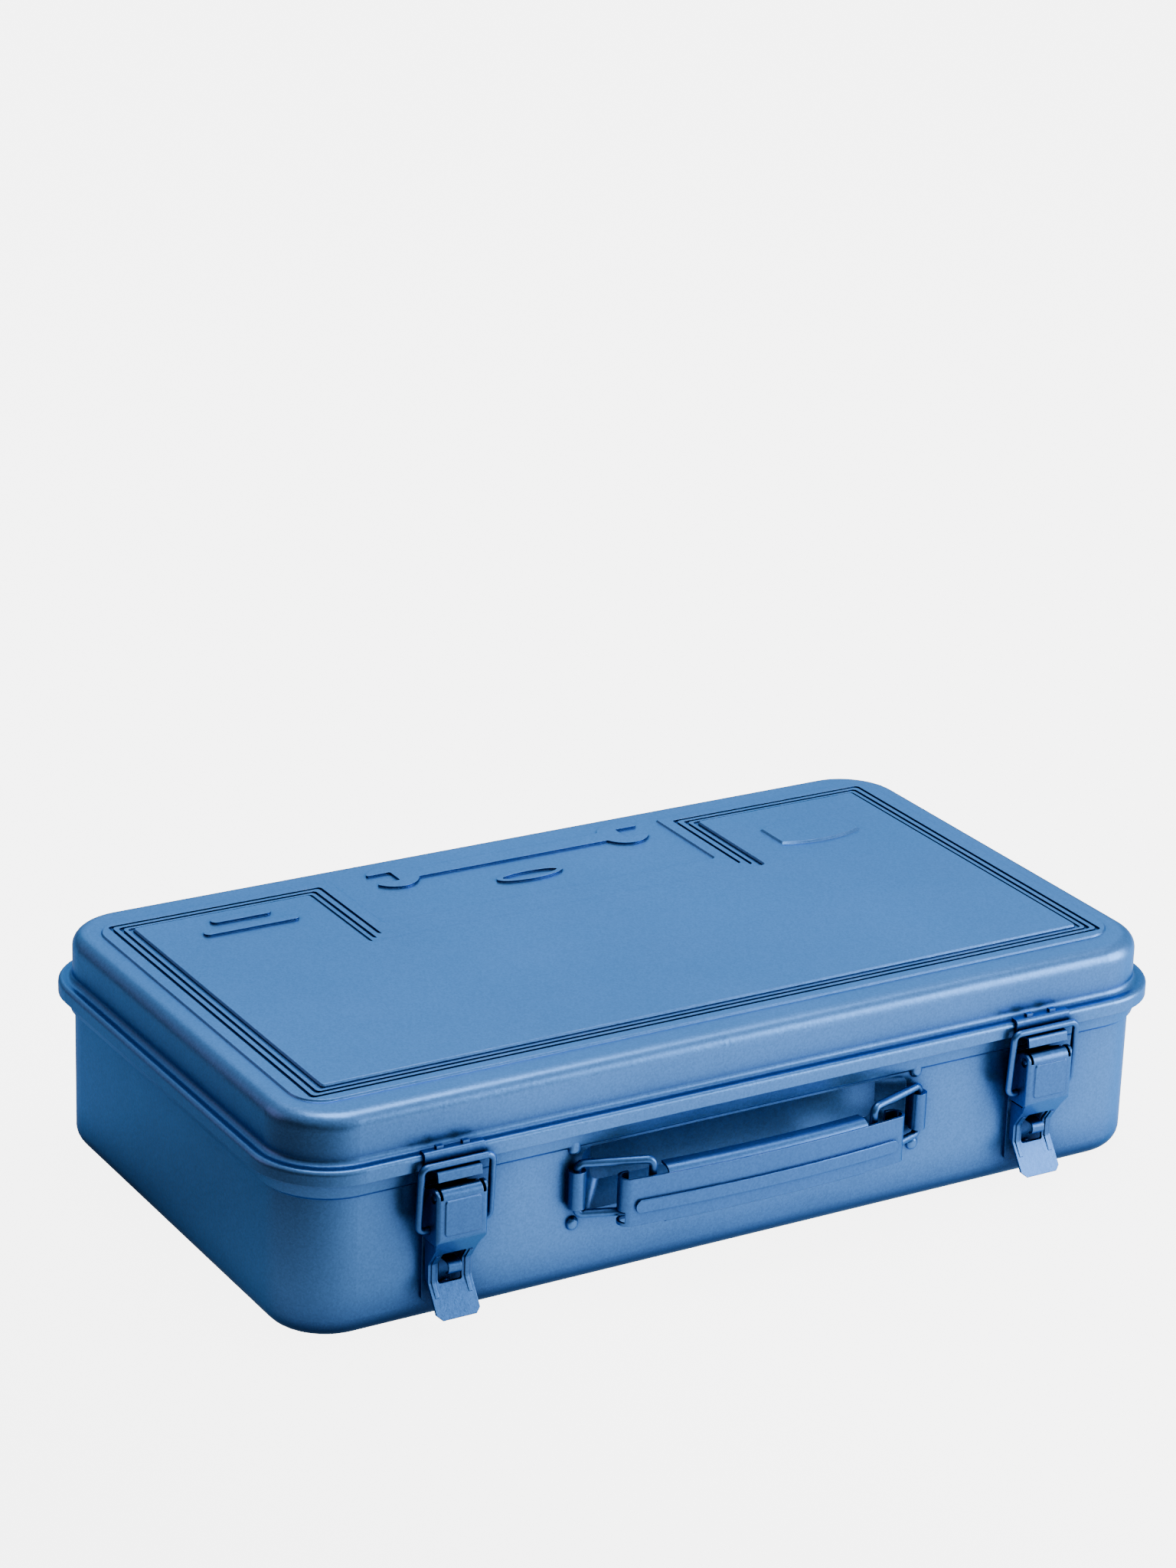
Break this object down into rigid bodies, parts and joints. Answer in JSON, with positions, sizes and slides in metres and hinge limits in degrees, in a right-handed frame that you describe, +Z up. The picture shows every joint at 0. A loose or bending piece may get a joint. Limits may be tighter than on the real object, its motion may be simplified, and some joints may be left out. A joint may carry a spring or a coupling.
{
  "type": "metal tool box",
  "caption": "Shallow pressed-steel tool box: hinged lid with stepped embossing, toggle latches and a fold-flat handle in a front recess, painted blue all over.",
  "frame": {"origin": "on the floor, under the middle of the body shell", "axes": "+X to the right seen from the front, -Y out of the front with the latches and handle, +Z up"},
  "size_m": [0.3644, 0.2242, 0.0856],
  "materials": {
    "shell_paint": "satin metallic blue paint with a fine orange peel",
    "hardware_paint": "satin metallic blue paint, a little thinner over the bends"
  },
  "bodies": {
    "box": {"body_shell": "shell_paint", "handle_barrel_left": "hardware_paint", "handle_barrel_right": "hardware_paint", "latch_base_left": "hardware_paint", "latch_base_right": "hardware_paint", "latch_spring_left": "hardware_paint", "latch_spring_right": "hardware_paint", "latch_base_rivets": "hardware_paint", "hinge_body_leaf_left": "hardware_paint", "hinge_body_leaf_right": "hardware_paint", "hinge_pin_left": "hardware_paint", "hinge_pin_right": "hardware_paint", "lever_pin_left": "hardware_paint", "lever_pin_right": "hardware_paint"},
    "lid": {"lid_shell": "shell_paint", "keeper_left": "hardware_paint", "keeper_right": "hardware_paint", "hinge_lid_leaf_left": "hardware_paint", "hinge_lid_leaf_right": "hardware_paint"},
    "lever_left": {"lever_left": "hardware_paint"},
    "lever_right": {"lever_right": "hardware_paint"},
    "bail_left": {"bail_left": "hardware_paint"},
    "bail_right": {"bail_right": "hardware_paint"},
    "handle_grip": {"handle_grip": "hardware_paint"},
    "handle_link_left": {"handle_link_left": "hardware_paint"},
    "handle_link_right": {"handle_link_right": "hardware_paint"}
  },
  "joints": [
    {"name": "lid_hinge", "type": "hinge", "parent": "box", "child": "lid", "pos_m": [0, 0.1062, 0.059], "axis": [-1, 0, 0], "range_deg": [0, 110]},
    {"name": "latch_left_swing", "type": "hinge", "parent": "box", "child": "lever_left", "pos_m": [-0.1207, -0.1076, 0.0518], "axis": [-1, 0, 0], "range_deg": [0, 110]},
    {"name": "latch_right_swing", "type": "hinge", "parent": "box", "child": "lever_right", "pos_m": [0.1207, -0.1076, 0.0518], "axis": [-1, 0, 0], "range_deg": [0, 110]},
    {"name": "bail_left_swing", "type": "hinge", "parent": "lever_left", "child": "bail_left", "pos_m": [-0.1207, -0.1046, 0.0388], "axis": [-1, 0, 0], "range_deg": [-116, 0]},
    {"name": "bail_right_swing", "type": "hinge", "parent": "lever_right", "child": "bail_right", "pos_m": [0.1207, -0.1046, 0.0388], "axis": [-1, 0, 0], "range_deg": [-116, 0]},
    {"name": "handle_pull", "type": "slide", "parent": "box", "child": "handle_grip", "axis": [0, -1, 0], "range_m": [-0.006, 0.011]},
    {"name": "handle_link_left_swing", "type": "hinge", "parent": "box", "child": "handle_link_left", "pos_m": [-0.0705, -0.1004, 0.0388], "axis": [0, 0, -1], "range_deg": [-15, 26]},
    {"name": "handle_link_right_swing", "type": "hinge", "parent": "box", "child": "handle_link_right", "pos_m": [0.0705, -0.1004, 0.0388], "axis": [0, 0, 1], "range_deg": [-15, 26]}
  ],
  "couplings": [
    {"joint": "bail_left_swing", "follows": "latch_left_swing", "ratio": -1.05},
    {"joint": "bail_right_swing", "follows": "latch_right_swing", "ratio": -1.05},
    {"joint": "handle_link_left_swing", "follows": "handle_pull", "rad_per_m": 40},
    {"joint": "handle_link_right_swing", "follows": "handle_pull", "rad_per_m": 40}
  ]
}
